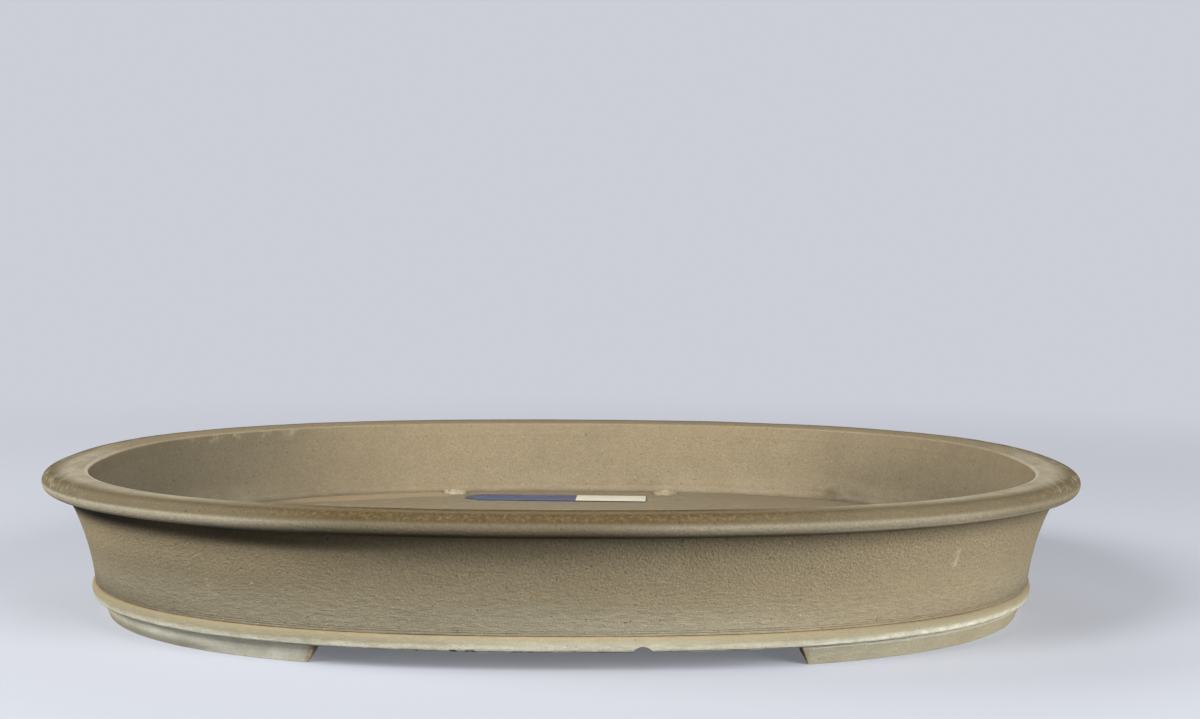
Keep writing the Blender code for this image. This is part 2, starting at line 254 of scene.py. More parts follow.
def arc(centre, radius, start, end, steps):
    """Section points on an arc. Angles are in degrees: 0 is outwards and 90 is up."""
    angles = [math.radians(start + (end - start) * step / steps) for step in range(steps + 1)]
    return [(centre[0] - radius * math.cos(a), centre[1] + radius * math.sin(a))
            for a in angles]


def line(start, end, steps):
    """Section points on a straight line, without its end."""
    return [tuple(a + (b - a) * step / steps for a, b in zip(start, end))
            for step in range(steps)]


def bezier(corners, steps):
    """Section points on a cubic curve with four corners, without its end."""
    points = []
    for step in range(steps):
        t = step / steps
        weights = ((1 - t) ** 3, 3 * t * (1 - t) ** 2, 3 * t * t * (1 - t), t ** 3)
        points.append(tuple(sum(w * c[axis] for w, c in zip(weights, corners))
                            for axis in (0, 1)))
    return points


def flowing(points, steps):
    """Section points on a smooth curve through the given ones, without the last."""
    ends = [points[0], *points, points[-1]]
    run = []
    for a, b, c, d in zip(ends, ends[1:], ends[2:], ends[3:]):
        for step in range(steps):
            t = step / steps
            run.append(tuple(0.5 * (2 * b[k] + (c[k] - a[k]) * t
                                    + (2 * a[k] - 5 * b[k] + 4 * c[k] - d[k]) * t * t
                                    + (3 * b[k] - a[k] - 3 * c[k] + d[k]) * t ** 3)
                             for k in (0, 1)))
    return run


class Section:
    """A closed outline made of named runs. A run's marks are its share of the outline."""

    def __init__(self, **runs):
        self.points = [point for points in runs.values() for point in points]
        self.marks = {}
        total, start = len(self.points), 0
        for name, points in runs.items():
            end = start + len(points)
            self.marks[name] = (start / total, end / total)
            start = end

    def shows(self, index, hidden):
        """Whether a point is clear of the hidden runs."""
        share = index / len(self.points)
        return not any(self.marks[name][0] - 1e-6 <= share <= self.marks[name][1] + 1e-6
                       for name in hidden)


def rim_section():
    """Outturned lip with a round nose, a low crown and a worn inner edge."""
    inner_seat = (inner_face(RIM_SEAT_INNER_HEIGHT), RIM_SEAT_INNER_HEIGHT)
    nose = arc((NOSE_RADIUS, POT_HEIGHT - 0.0058), NOSE_RADIUS, -NOSE_SPREAD, NOSE_SPREAD, 26)
    edge = arc((INNER_EDGE[0] - RIM_EDGE_RADIUS, INNER_EDGE[1] - RIM_EDGE_RADIUS),
               RIM_EDGE_RADIUS, 96.0, 176.0, 7)
    crown = flowing([nose[-1], (0.0095, POT_HEIGHT - 0.00003), (0.0140, POT_HEIGHT),
                     (0.0190, POT_HEIGHT - 0.00035), edge[0]], 5)
    return Section(seat=line(inner_seat, RIM_SEAT, 3), underside=line(RIM_SEAT, nose[0], 6),
                   nose=nose[:-1], crown=crown, edge=edge,
                   inside=line(edge[-1], inner_seat, 6)[1:])


def wall_section():
    """Concave flaring wall with a cove that runs out on the floor."""
    foot = (0.0278, BAND_TOP)
    outer = bezier((foot, (0.0260, 0.0360), (0.0218, 0.0520), RIM_SEAT), 30)
    top = (inner_face(RIM_SEAT_INNER_HEIGHT), RIM_SEAT_INNER_HEIGHT)
    cove_height = FLOOR_TOP + COVE_HEIGHT
    cove = arc((inner_face(cove_height) + COVE_RADIUS, cove_height), COVE_RADIUS,
               0.0, -90.0, 9)
    toe = (cove[-1][0] + 0.0010, FLOOR_TOP + 0.0002)
    heel = [toe, (SLAB_TOP_INSET - SEAM, FLOOR_TOP + 0.0002),
            (SLAB_EDGE_INSET - SEAM, BAND_TOP + SEAM)]
    return Section(outside=outer, seat=line(RIM_SEAT, top, 3),
                   inside=line(top, cove[0], 18), cove=cove, heel=heel)


def band_section():
    """Belt of clay with a rounded face that turns in sharply at its lower edge."""
    face = flowing([(0.0281, BAND_TOP), (0.0268, 0.0182), (0.0262, 0.0164), (0.0263, 0.0146),
                    (0.0268, 0.0128), (0.0275, 0.0116), (0.0284, 0.0111)], 5)
    back = SLAB_EDGE_INSET - SEAM
    return Section(top=[(back, BAND_TOP)], face=face,
                   back=[(0.0286, 0.0110), (0.0296, BAND_BOTTOM), (back, BAND_BOTTOM)])


def foot_section(reach, lean):
    """Foot strip. Reach is the inset of its upper edge, and lean sets back its ground line."""
    brow = [(reach + 0.0014, FOOT_TOP), (reach + 0.0010, 0.0106), (reach + 0.0003, 0.0104)]
    face = line((reach, 0.0100), (0.0365 + lean, 0.0006), 16)
    lower_edge = arc((0.0371 + lean, 0.0006), 0.0006, 0.0, -90.0, 4)
    inner_edge = arc((0.0612, 0.0008), 0.0008, -90.0, -180.0, 3)
    back = line(inner_edge[-1], (0.0638, FOOT_TOP), 4)[1:]
    return Section(brow=brow, face=face, lower_edge=lower_edge,
                   sole=line((0.0400, 0.0), (0.0590, 0.0), 3),
                   inner_edge=inner_edge, back=back, top=[(0.0638, FOOT_TOP)])


# Modelling steps


def leave_alone():
    """Deselect everything, the frame's nodes too."""
    if bpy.context.object and bpy.context.object.mode != "OBJECT":
        bpy.ops.object.mode_set(mode="OBJECT")
    bpy.ops.object.select_all(action="DESELECT")


def take(piece):
    """Make a piece the only selected and active one."""
    leave_alone()
    piece.select_set(True)
    bpy.context.view_layer.objects.active = piece


def open_mesh():
    """Go into edit mode with the whole of the active piece selected."""
    bpy.ops.object.mode_set(mode="EDIT")
    bpy.ops.mesh.select_all(action="SELECT")


def close_mesh():
    """Turn all faces outwards and leave edit mode."""
    bpy.ops.mesh.select_all(action="SELECT")
    bpy.ops.mesh.normals_make_consistent()
    bpy.ops.object.mode_set(mode="OBJECT")


def curve_through(name, points, closed, flat):
    """A polygonal curve object through the points."""
    data = bpy.data.curves.new(name, "CURVE")
    data.dimensions = "2D" if flat else "3D"
    spline = data.splines.new("POLY")
    spline.points.add(len(points) - 1)
    for spline_point, point in zip(spline.points, points):
        spline_point.co = (*point, 1.0)
    spline.use_cyclic_u = closed
    curve = bpy.data.objects.new(name, data)
    bpy.context.scene.collection.objects.link(curve)
    return curve


def as_mesh(curve):
    """Convert a curve to a mesh, merge its doubles and turn its faces outwards."""
    take(curve)
    bpy.ops.object.convert(target="MESH")
    bpy.ops.object.transform_apply()
    open_mesh()
    bpy.ops.mesh.remove_doubles(threshold=0.000005)
    close_mesh()
    return bpy.context.object


def stack(name, rings):
    """A solid through rings of points: a disc on the first ring, extruded to each next one."""
    leave_alone()
    bpy.ops.mesh.primitive_circle_add(vertices=len(rings[0]), fill_type="NGON")
    piece = bpy.context.object
    piece.name = name
    for vertex, place in zip(piece.data.vertices, rings[0]):
        vertex.co = place
    open_mesh()
    for ring in rings[1:]:
        bpy.ops.mesh.extrude_region_move()
        bpy.ops.object.mode_set(mode="OBJECT")
        for vertex, place in zip([v for v in piece.data.vertices if v.select], ring):
            vertex.co = place
        bpy.ops.object.mode_set(mode="EDIT")
    close_mesh()
    return piece


def sweep(name, section, path, closed):
    """Sweep a section along the plan."""
    outline = curve_through(name + "_section", [(-i, h, 0.0) for i, h in section.points],
                            True, True)
    rail = curve_through(name, path, closed, False)
    rail.data.twist_mode = "Z_UP"
    rail.data.bevel_mode = "OBJECT"
    rail.data.bevel_object = outline
    rail.data.use_fill_caps = not closed
    piece = as_mesh(rail)
    bpy.data.objects.remove(outline)
    return piece


def modify(piece, kind, **settings):
    """Put a modifier on a piece and apply it."""
    modifier = piece.modifiers.new(kind.lower(), kind)
    for key, value in settings.items():
        setattr(modifier, key, value)
    take(piece)
    bpy.ops.object.modifier_apply(modifier=modifier.name)


def cloud_texture(name, size, depth):
    """A cloudy pattern for a surface to be pressed by."""
    pattern = bpy.data.textures.new(name, "CLOUDS")
    pattern.noise_scale = size
    pattern.noise_depth = depth
    return pattern


def ring(name, section, hidden, sizes, press=1.0, spread=1.0):
    """Sweep a section round the whole plan, and press shallow hollows into what shows."""
    piece = sweep(name, section, plan_line(sizes.stations), True)
    count = len(section.points)
    group = piece.vertex_groups.new(name="shows")
    group.add([v.index for v in piece.data.vertices if section.shows(v.index % count, hidden)],
              1.0, "REPLACE")
    depth, reach = sizes.unevenness * press, sizes.unevenness_span * spread
    for label, depth, size in (("broad", depth, reach), ("fine", depth * 0.3, reach * 0.18)):
        modify(piece, "DISPLACE", texture=cloud_texture(f"{name}_{label}", size, 1),
               texture_coords="LOCAL", mid_level=0.0, strength=-depth, vertex_group=group.name)
    piece.vertex_groups.clear()
    return piece


def carve(piece, cutter):
    """Cut a piece with another body, which is then removed."""
    modify(piece, "BOOLEAN", operation="DIFFERENCE", solver="EXACT", object=cutter)
    bpy.data.objects.remove(cutter)


def chip_cutter(place, size, turn):
    """A faceted lump of the shape that a knock takes out of fired clay."""
    leave_alone()
    bpy.ops.mesh.primitive_ico_sphere_add(subdivisions=2, radius=1.0)
    lump = bpy.context.object
    open_mesh()
    bpy.ops.transform.vertex_random(offset=0.14, seed=int(turn * 10) + 3)
    bpy.ops.object.mode_set(mode="OBJECT")
    lump.scale = size
    lump.rotation_euler = (0.0, 0.0, turn)
    lump.location = place
    bpy.ops.object.transform_apply()
    return lump


def complete(piece, degrees, material, slot, *nodes):
    """Smooth a piece's rounds, and give it its finish and its place in the frame."""
    take(piece)
    bpy.ops.object.shade_smooth_by_angle(angle=math.radians(degrees))
    piece.data.materials.clear()
    piece.data.materials.append(material)
    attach(piece, BODY)
    if nodes:
        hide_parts(*nodes)


# Finishes


def maths(operation, turned=False):
    """A method that adds a Math node of its value and a number, or of the two turned round."""
    def add(value, *others):
        numbers = (value, *others)
        return value.nodes.node("ShaderNodeMath", {"operation": operation},
                                numbers[::-1] if turned else numbers)
    return add


class Value:
    """A socket of a node tree. Arithmetic on it adds Math nodes."""

    def __init__(self, nodes, socket):
        self.nodes = nodes
        self.socket = socket

    __add__ = __radd__ = maths("ADD")
    __sub__ = maths("SUBTRACT")
    __rsub__ = maths("SUBTRACT", turned=True)
    __mul__ = __rmul__ = maths("MULTIPLY")
    __abs__ = maths("ABSOLUTE")
    most = maths("MAXIMUM")

    def clamp(self):
        """The number, kept between 0 and 1."""
        return self.nodes.node("ShaderNodeClamp", {}, [self])

    def rise(self, low, high):
        """0 below low and 1 above high, with a soft step. High may be the smaller one."""
        if high < low:
            return 1.0 - self.rise(high, low)
        return self.nodes.node("ShaderNodeMapRange", {"interpolation_type": "SMOOTHSTEP"},
                               {"Value": self, "From Min": low, "From Max": high})

    def near(self, middle, reach):
        """1 at the middle and 0 from the reach on."""
        return abs(self - middle).rise(reach, 0.0)


class Nodes:
    """A node tree, and the one way in which nodes are added to it."""

    def __init__(self, tree):
        self.tree = tree

    def node(self, kind, settings, inputs, output=0):
        """Add a node: settings first, then its sockets by position or name."""
        made = self.tree.nodes.new(kind)
        for key, value in settings.items():
            setattr(made, key, value)
        pairs = inputs.items() if isinstance(inputs, dict) else enumerate(inputs)
        for key, value in pairs:
            if isinstance(value, Value):
                self.tree.links.new(value.socket, made.inputs[key])
            else:
                made.inputs[key].default_value = value
        return Value(self, made.outputs[output])

    def seen_directly(self):
        """1 for camera, gloss and transmission rays, and 0 for light that is thrown about."""
        seen = self.node("ShaderNodeLightPath", {}, {}, "Is Camera Ray")
        for name in ("Is Glossy Ray", "Is Transmission Ray"):
            seen = seen.most(self.node("ShaderNodeLightPath", {}, {}, name))
        return seen

    def shows(self, surface, output):
        """Link a shader to the tree's output."""
        self.tree.links.new(surface.socket, self.tree.nodes[output].inputs["Surface"])


class Look(Nodes):
    """One finish: a Principled shader, and patterns over the pot's own coordinates."""

    def __init__(self, name, colours, roughness, specular=0.06):
        self.material = bpy.data.materials.new(name)
        self.material.use_nodes = True
        super().__init__(self.material.node_tree)
        self.shader = self.tree.nodes["Principled BSDF"]
        self.shader.inputs["Roughness"].default_value = roughness
        self.shader.inputs["Specular IOR Level"].default_value = specular
        self.colours = colours
        self.place = self.node("ShaderNodeTexCoord", {}, {}, "Object")
        self.x, self.y, self.z = self.axes(self.place)
        uv = self.node("ShaderNodeTexCoord", {}, {}, "UV")
        self.across = self.axes(uv)[1]

    def axes(self, vector):
        """The three numbers of a vector."""
        made = self.node("ShaderNodeSeparateXYZ", {}, [vector])
        outputs = made.socket.node.outputs
        return [Value(self, outputs[k]) for k in range(3)]

    def stretched(self, scale, turn=(0.0, 0.0, 0.0)):
        """The pot's coordinates, stretched and turned."""
        return self.node("ShaderNodeMapping", {}, {"Vector": self.place, "Scale": scale,
                                                   "Rotation": turn})

    def noise(self, scale, detail=3.0, roughness=0.55, where=None, distortion=0.0):
        """Cloudy noise about 0.5."""
        return self.node("ShaderNodeTexNoise", {},
                         {"Vector": where or self.place, "Scale": scale, "Detail": detail,
                          "Roughness": roughness, "Distortion": distortion})

    def specks(self, scale, size, share, where=None):
        """Scattered round specks: 1 in a speck and 0 elsewhere."""
        cells = self.node("ShaderNodeTexVoronoi", {},
                          {"Vector": where or self.place, "Scale": scale}, "Color")
        distance = Value(self, cells.socket.node.outputs["Distance"])
        lottery = self.axes(cells)[0]
        return distance.rise(size, size * 0.5) * lottery.rise(1.0 - share, 1.02 - share)

    def blend(self, share, first, second):
        """Mix two colours. One of the pot's own may be given by its name."""
        first, second = ((*getattr(self.colours, tone), 1.0) if isinstance(tone, str) else tone
                         for tone in (first, second))
        return self.node("ShaderNodeMix", {"data_type": "RGBA"},
                         {0: share, 6: first, 7: second}, 2)

    def coats(self, body, *layers):
        """Lay colours over a colour, one after the other, each by its share."""
        for share, colour in layers:
            body = self.blend(share, body, colour)
        return body

    def shade(self, colour, tone):
        """Darken or lighten a colour by a number round 1."""
        grey = self.node("ShaderNodeCombineColor", {}, [tone, tone, tone])
        return self.node("ShaderNodeMix", {"data_type": "RGBA", "blend_type": "MULTIPLY"},
                         {0: 1.0, 6: colour, 7: grey}, 2)

    def stroke(self, start, end, width):
        """1 on a fine line between two points of the pot, and 0 away from it."""
        a, b = Vector(start), Vector(end)
        run = self.node("ShaderNodeVectorMath", {"operation": "SUBTRACT"}, [self.place, a])
        along = self.node("ShaderNodeVectorMath", {"operation": "DOT_PRODUCT"},
                          [run, (b - a) / (b - a).length_squared], "Value").clamp()
        foot = self.node("ShaderNodeVectorMath", {"operation": "SCALE"},
                         {0: tuple(b - a), "Scale": along})
        gap = self.node("ShaderNodeVectorMath", {"operation": "DISTANCE"}, [run, foot], "Value")
        return gap.rise(width, width * 0.3)

    def strokes(self, lines):
        """1 on any of several lines of start, end and width."""
        mask = self.stroke(*lines[0])
        for start, end, width in lines[1:]:
            mask = mask.most(self.stroke(start, end, width))
        return mask

    def finished(self, colour, height, distance, roughness=None):
        """Feed the shader, its normal from a height, and hand over the material."""
        bump = self.node("ShaderNodeBump", {}, {"Height": height, "Distance": distance},
                         "Normal")
        for socket, value in (("Base Color", colour), ("Normal", bump),
                              ("Roughness", roughness)):
            if value:
                self.tree.links.new(value.socket, self.shader.inputs[socket])
        return self.material

    def peel(self):
        """Height of the orange-peel skin: short wrinkles with pores between them."""
        wrinkles = self.noise(640, 2, 0.62, distortion=0.3)
        ridges = self.noise(620, 2, 0.6, where=self.stretched((0.3, 0.3, 1)))
        low = self.z.rise(0.052, 0.030) * 0.5
        pores = self.noise(1500, 2, 0.5)
        return wrinkles * (0.68 - low) + ridges * low + pores * 0.32

    def clay(self, colour, skin, grain=1.0):
        """Clay body: cloudy tone, lighter crests, sand grain and fine pits."""
        cloudy = self.noise(13, 4, 0.6)
        blotch = self.noise(95)
        sand = self.noise(1000, 2, 0.6)
        tone = 0.86 + cloudy * 0.16 + blotch * 0.12
        tone = tone + (skin - 0.5) * (0.85 * grain) + (sand - 0.5) * (0.4 * grain)
        dark = self.specks(420, 0.3, 0.06)
        light = self.specks(640, 0.36, 0.12)
        return self.shade(colour, tone - dark * (0.42 * grain) + light * (0.32 * grain))


def inner_clay(look):
    """Inner face, shared by wall and rim: stained dark at the left, lighter in the middle."""
    x, y, z = look.x, look.y, look.z
    drift = (look.noise(9, 3, 0.5) - 0.5) * 0.05
    wavy = x + drift
    left = wavy.rise(-0.1, -0.26) * 0.95
    right = wavy.rise(0.13, 0.22) * (z.rise(0.078, 0.05) * 0.3 + 0.22)
    stain = look.noise(24, 4, 0.6, distortion=0.8).rise(0.45, 0.72)
    low = z.rise(0.052, 0.038) * look.noise(19).rise(0.35, 0.75)
    patch = x.near(0.19, 0.024) * z.rise(0.047, 0.037) * y.rise(0.1, 0.13)
    salts = z.rise(0.0735, 0.0785) * x.rise(-0.14, -0.21) * y.rise(0.08, 0.12)
    tan = z.rise(0.079, 0.0812) * look.noise(30, 2).rise(0.3, 0.6) * 0.35
    scratch = look.strokes((((-0.27, -0.0204, 0.0742), (-0.2705, 0.0131, 0.0745), 0.0014),
                            ((-0.2705, 0.0131, 0.0745), (-0.2712, 0.028, 0.0785), 0.0016)))
    return look.coats(
        "inside", (left, "inside_dark"), (right + stain * 0.16, "inside_dark"),
        (low * 0.16, "worn"), (patch * look.noise(130).rise(0.3, 0.6) * 0.6, "clay_dark"),
        (salts * look.noise(110, 4, 0.6).rise(0.5, 0.75) * 0.35, "worn"), (tan, "rust"),
        (scratch * look.noise(400, 2).rise(0.25, 0.6) * 0.8, "worn"))


def wall_finish(colours):
    """Unglazed wall: orange-peel outside with painted shade under the lip, stained inside."""
    look = Look("unglazed_clay", colours, 0.85)
    x, z = look.x, look.z
    marks = wall_section().marks
    inside = look.across.rise(marks["seat"][0] + 0.01, marks["seat"][1])
    drift = look.noise(7, 3, 0.5) - 0.5
    low = (z + drift * 0.03).rise(0.044, 0.026)
    high = z.rise(0.04, 0.056) * x.rise(-0.06, -0.17)
    right = x.rise(0.02, 0.15) * x.rise(0.27, 0.2)
    warm = (high * 1.1 + right * 0.55 + drift * 0.7).clamp()
    ends = x.rise(-0.12, -0.26) * 0.5 + x.rise(0.12, 0.26) * 0.28
    dusty = z.rise(0.036, 0.022) * x.near(0.05, 0.14) * 0.06
    rubs = look.strokes((((-0.1545, -0.179, 0.0398), (-0.1515, -0.1818, 0.041), 0.00055),
                         ((-0.1515, -0.1818, 0.041), (-0.1508, -0.1826, 0.0428), 0.0005),
                         ((-0.1655, -0.1866, 0.066), (-0.162, -0.1866, 0.0625), 0.00045)))
    smear = look.strokes((((-0.176, -0.1696, 0.0405), (-0.1745, -0.17, 0.0335), 0.003),
                          ((0.2006, -0.1603, 0.056), (0.2, -0.159, 0.0465), 0.0032)))
    scar = look.stroke((-0.0166, -0.2035, 0.0391), (-0.0052, -0.2036, 0.0391), 0.0007)
    burnt = look.specks(90, 0.1, 0.2) * x.rise(0.08, 0.16)
    outer = look.coats(
        "clay", (low * 0.75, "clay_grey"), (warm, "clay_warm"),
        (ends * z.rise(0.032, 0.02), "clay_dark"), (dusty, "mineral"), (rubs * 0.85, "worn"),
        (smear * look.noise(300).rise(0.4, 0.65) * 0.45, "worn"),
        (scar * look.noise(500, 2).rise(0.35, 0.6) * 0.8, "rust"), (burnt * 0.75, "clay_dark"))
    # painted shade under the lip: narrow and deep at the left end, light at the right end; soft
    # carries it lower and wider in the middle
    lip_shade = z.rise(0.058, 0.0658) * (0.16 + x.rise(0, -0.17) * 0.6)
    lip_shade = lip_shade + z.near(0.0618, 0.0045) * x.near(-0.135, 0.085) * 0.24
    lip_shade = lip_shade + z.rise(0.0632, 0.0665) * x.rise(-0.19, -0.24) * 0.16
    soft = z.rise(0.05, 0.064) * x.near(-0.05, 0.13) * 0.26
    outer = look.shade(outer, 1 - lip_shade.most(soft))
    level = z + (look.noise(9, 2) - 0.5) * 0.0008
    broken = look.noise(26, 2).rise(0.3, 0.55)
    trims = level.near(0.0203, 0.00028) + level.near(0.0213, 0.00022) * broken
    body = look.coats(
        outer, (inside, inner_clay(look)), (trims * 0.55 * (1 - inside), "clay_dark"))
    skin = look.peel()
    return look.finished(look.clay(body, skin), skin * (1 - inside * 0.35) - trims * 0.12, 0.001,
                         0.72 + look.noise(60, 2) * 0.2)


def rim_finish(colours):
    """Rim: brown speckled film on top, painted highlight and shade on the nose, worn inner edge
    and scuffed ends.
    """
    look = Look("rim_clay", colours, 0.6, 0)
    x, y = look.x, look.y
    marks = rim_section().marks
    low, high = marks["nose"]
    # degrees of the section's bend: 0 looks outwards and 90 looks up
    bend = (look.across - low) * (2 * NOSE_SPREAD / (high - low)) - NOSE_SPREAD
    patch = look.noise(24, 4, 0.6) - 0.5
    ends = abs(x + 0.0125).rise(0.07, 0.2)
    back = y.rise(-0.02, 0.1)
    # the left and right parts of the nose, which carry its painted highlights
    lit_sides = x.rise(-0.09, -0.18) + x.rise(0, 0.09) * 0.57
    lit_sides = lit_sides - x.rise(0.19, 0.24) * 0.3
    crown = bend.rise(6, 30)
    film = crown * (1 - ends * 0.6 + patch * 0.5)
    # the film is thinned on the lit sides of the nose, as part of the painted highlight
    film = (film * (1 - lit_sides * bend.rise(75, 40) * 0.5)).clamp()
    start, end = marks["crown"]
    # the inner part of the crown at the ends made pale: partly worn bare, partly painted sheen
    flat = look.across.rise(start, start + (end - start) * 0.6)
    flat = flat * ends * (0.6 + patch) * (1 - back * 0.75)
    freckles = look.noise(480, 4, 0.65).rise(0.42, 0.7)
    outer = look.across.near(start + 0.07, 0.11) * (1 - ends * 0.6)
    scuffs = look.noise(420, 4, 0.62, where=look.stretched((1, 0.1, 1)))
    scuffs = scuffs.rise(0.48, 0.66) * abs(x).rise(0.23, 0.28) * crown
    # painted highlight: the lower half of the nose made pale at the lit sides
    nose_highlight = bend.rise(16, -4) * lit_sides * (0.55 + look.noise(240, 4, 0.6) * 0.45)
    # the nose's underside, which is given painted shade below
    under = bend.rise(-6, -30)
    far = bend.near(62, 40) * back
    edge = marks["edge"][0]
    wander = look.across + (look.noise(60) - 0.5) * 0.016
    bare = wander.rise(edge - 0.03, edge - 0.01) * look.noise(110, 3, 0.6).rise(0.15, 0.4)
    bare = bare * (1 - y.rise(-0.1, 0.05) * 0.85)
    inside = look.across.rise(marks["inside"][0] - 0.045, marks["inside"][0] - 0.01)
    body = look.coats(
        "rim", (film, "patina"), (flat.clamp(), "worn"),
        (freckles * bend.rise(15, 40) * 0.24 * (1 - ends * 0.8), "rust"),
        # painted highlight on the nose's lit sides
        (outer * 0.3, "clay_warm"), (scuffs * 0.35, "worn"), (nose_highlight * 0.85, "worn"),
        # painted light: the nose's underside made paler at the ends
        (bend.rise(-28, -50) * ends * 0.6, "worn"),
        # painted shade: the nose's underside darkened, less at the lit sides and the ends
        (under * (1 - lit_sides - ends * 0.5).clamp() * 0.35, "clay_dark"), (far * 0.35, "clay_dark"),
        (look.across.rise(start + 0.07, start + 0.12) * back * 0.85, "inside"), (bare, "worn"),
        (inside, inner_clay(look)))
    skin = look.peel()
    return look.finished(look.clay(body, skin, 0.75), skin, 0.0005, 0.48 + look.noise(260) * 0.24
                         + (under + inside) * 0.3)


def band_finish(colours):
    """Base band: a tan line at its top edge, mineral deposit on its lower half, painted shadow in
    its chips.
    """
    look = Look("band_clay", colours, 0.85)
    x, y, z = look.x, look.y, look.z
    clouds = look.noise(60, 4, 0.6) - 0.5
    height = z + clouds * 0.0018
    wavy = z + (look.noise(14, 2) - 0.5) * 0.0008
    dull = 0.22 - x.near(0, 0.13) * 0.2 + x.rise(0.12, 0.19) * 0.1
    middle = x.near(0.01, 0.11) * z.rise(0.0178, 0.015) * 0.25
    salts = look.noise(190, 4, 0.7).rise(0.18, 0.78)
    side = 0.55 + x.near(0.19, 0.09) * 0.4 - x.rise(0.245, 0.275) * 0.4
    side = side + x.rise(0.02, -0.06) * 0.25 - x.rise(-0.19, -0.24) * 0.15
    deposit = height.rise(0.0158, 0.0126) * (0.4 + salts * 0.6) * side
    foot_side = x.near(-0.14, 0.08) + x.near(0.13, 0.05)
    deposit = deposit + z.rise(0.0134, 0.012) * foot_side * 0.45
    grey = look.noise(20).rise(0.5, 0.75)
    # painted shadow: dark strokes in the chips along the lower edge and a dark patch in the notch
    marks = look.strokes([((at - r, -0.1985, 0.0112), (at + r, -0.1985, 0.0114), r * 2.2)
                          for at, r in BAND_PITS])
    notch_shadow = x.near(NOTCH_X, 0.007) * y.near(-0.1955, 0.0035)
    pits = look.specks(300, 0.3, 0.16) * z.rise(0.0126, 0.0113)
    body = look.coats(
        "band", (wavy.rise(0.0176, 0.0185) * 0.4, "rust"),
        (z.rise(0.015, 0.0176) * dull, "clay_dark"), (middle * (0.5 + look.noise(90)), "mineral"),
        (deposit.clamp(), "mineral"), (grey * 0.25, "clay"),
        # painted shadow in the chips and the notch; the pits are real dark specks
        (marks.most(notch_shadow).most(pits) * 0.85, "clay_dark"))
    skin = look.peel()
    return look.finished(look.clay(body, skin, 0.55), skin + salts * 0.3, 0.00045)


def foot_finish(name, colours, raw, pale):
    """Foot: pale with salts, and with a raw torn end at the arch."""
    look = Look(name, colours, 0.85)
    x, y, z = look.x, look.y, look.z
    clouds = look.noise(42, 4, 0.6, distortion=0.4)
    top = z + (look.noise(120) - 0.5) * 0.001
    # darker towards the ground at the left foot
    darkening = z.rise(0.007, 0.0015) * x.rise(-0.145, -0.2) * 0.66
    worn = x.rise(-0.2, -0.26) + x.rise(0.15, 0.23) * 0.8
    slant = (ARCH_HALF_AT_GROUND - ARCH_HALF_AT_BAND) / BAND_BOTTOM
    torn = (abs(x - ARCH_CENTRE_X) + z * slant).rise(ARCH_HALF_AT_GROUND + 0.0042,
                                                     ARCH_HALF_AT_GROUND + 0.0018)
    torn = torn * (0.45 + look.noise(260).rise(0.4, 0.6) * 0.55)
    under = y.near(0, 0.15) * x.near(0, 0.24)
    body = look.coats(
        "band", (pale * (0.6 + clouds.rise(0.32, 0.62) * 0.4), "mineral"),
        (look.noise(26).rise(0.54, 0.75) * 0.3, "clay"),
        # pale line along the foot's upper edge under the band: partly worn edge, partly painted
        # highlight
        (top.near(0.0092, 0.0014) * 0.6, "mineral"), (darkening, "clay_dark"),
        (worn * 0.5, "clay_warm"), (torn * raw, "rust"), (under * 0.6, "clay"))
    skin = look.peel()
    return look.finished(look.clay(body, skin, 0.5), skin + clouds * 0.5, 0.0005)


def floor_finish(colours):
    """Inside floor with a tan stain along the wall at the back left."""
    look = Look("floor_clay", colours, 0.86)
    clouds = look.noise(16, 4, 0.6, distortion=0.5)
    along = look.y - look.x * 0.36 + (look.noise(60) - 0.5) * 0.01
    tan = along.rise(0.184, 0.198) * look.x.near(-0.135, 0.075).rise(0, 0.35)
    darkening = look.noise(26, 4, 0.6).rise(0.5, 0.7) * look.y.rise(0.125, 0.08)
    scale = look.noise(40, 4, 0.65).rise(0.56, 0.74)
    body = look.coats(
        "inside", (clouds.rise(0.35, 0.7) * 0.35, "clay_grey"), (tan * 0.6, "worn"),
        (tan * 0.5, "rust"), (darkening * 0.25, "inside_dark"), (scale * 0.3, "worn"))
    skin = look.peel()
    return look.finished(look.clay(body, skin, 0.8), skin * 0.8 + clouds, 0.0006)


def crumb_finish(colours):
    """Torn clay round the wire holes, whitened by salts."""
    look = Look("crumb_clay", colours, 0.88)
    salts = look.noise(330, 4, 0.65).rise(0.32, 0.6)
    left = look.x.rise(0.02, -0.02) * 0.62 + 0.26
    body = look.blend(salts * left, "clay_warm", "worn")
    return look.finished(look.clay(body, look.noise(900, 2), 0.7), look.noise(700, 4, 0.65),
                         0.0007)


def label_finish(colours):
    """Matt plastic, dusty and finely scratched."""
    look = Look("label_plastic", colours, 0.5, 0.2)
    dust = look.noise(90, 4, 0.65).rise(0.45, 0.75)
    scratches = look.noise(240, 2, 0.5, where=look.stretched((0.12, 1, 1), (0, 0, 0.3)))
    body = look.coats(
        "label", (dust * 0.11, "worn"), (scratches.rise(0.6, 0.72) * 0.16, "mineral"))
    return look.finished(body, scratches + look.noise(60, 2) * 0.5, 0.00008, 0.38 + dust * 0.3)


def paper_finish(colours):
    """Matt paper, slightly yellowed and cockled."""
    look = Look("sticker_paper", colours, 0.8)
    fibre = look.noise(700, 3, 0.6, where=look.stretched((0.5, 1, 1)))
    yellow = look.noise(45).rise(0.35, 0.75)
    body = look.blend(yellow * 0.25, "paper", "worn")
    return look.finished(look.shade(body, 0.92 + fibre * 0.16), fibre * 0.3 + look.noise(70, 2),
                         0.00012)


# Operators


class PieceStep:
    """What every step of the pot shares."""

    bl_options = {"REGISTER"}

    def settings(self, context):
        return context.scene.pot_sizes, context.scene.pot_colours


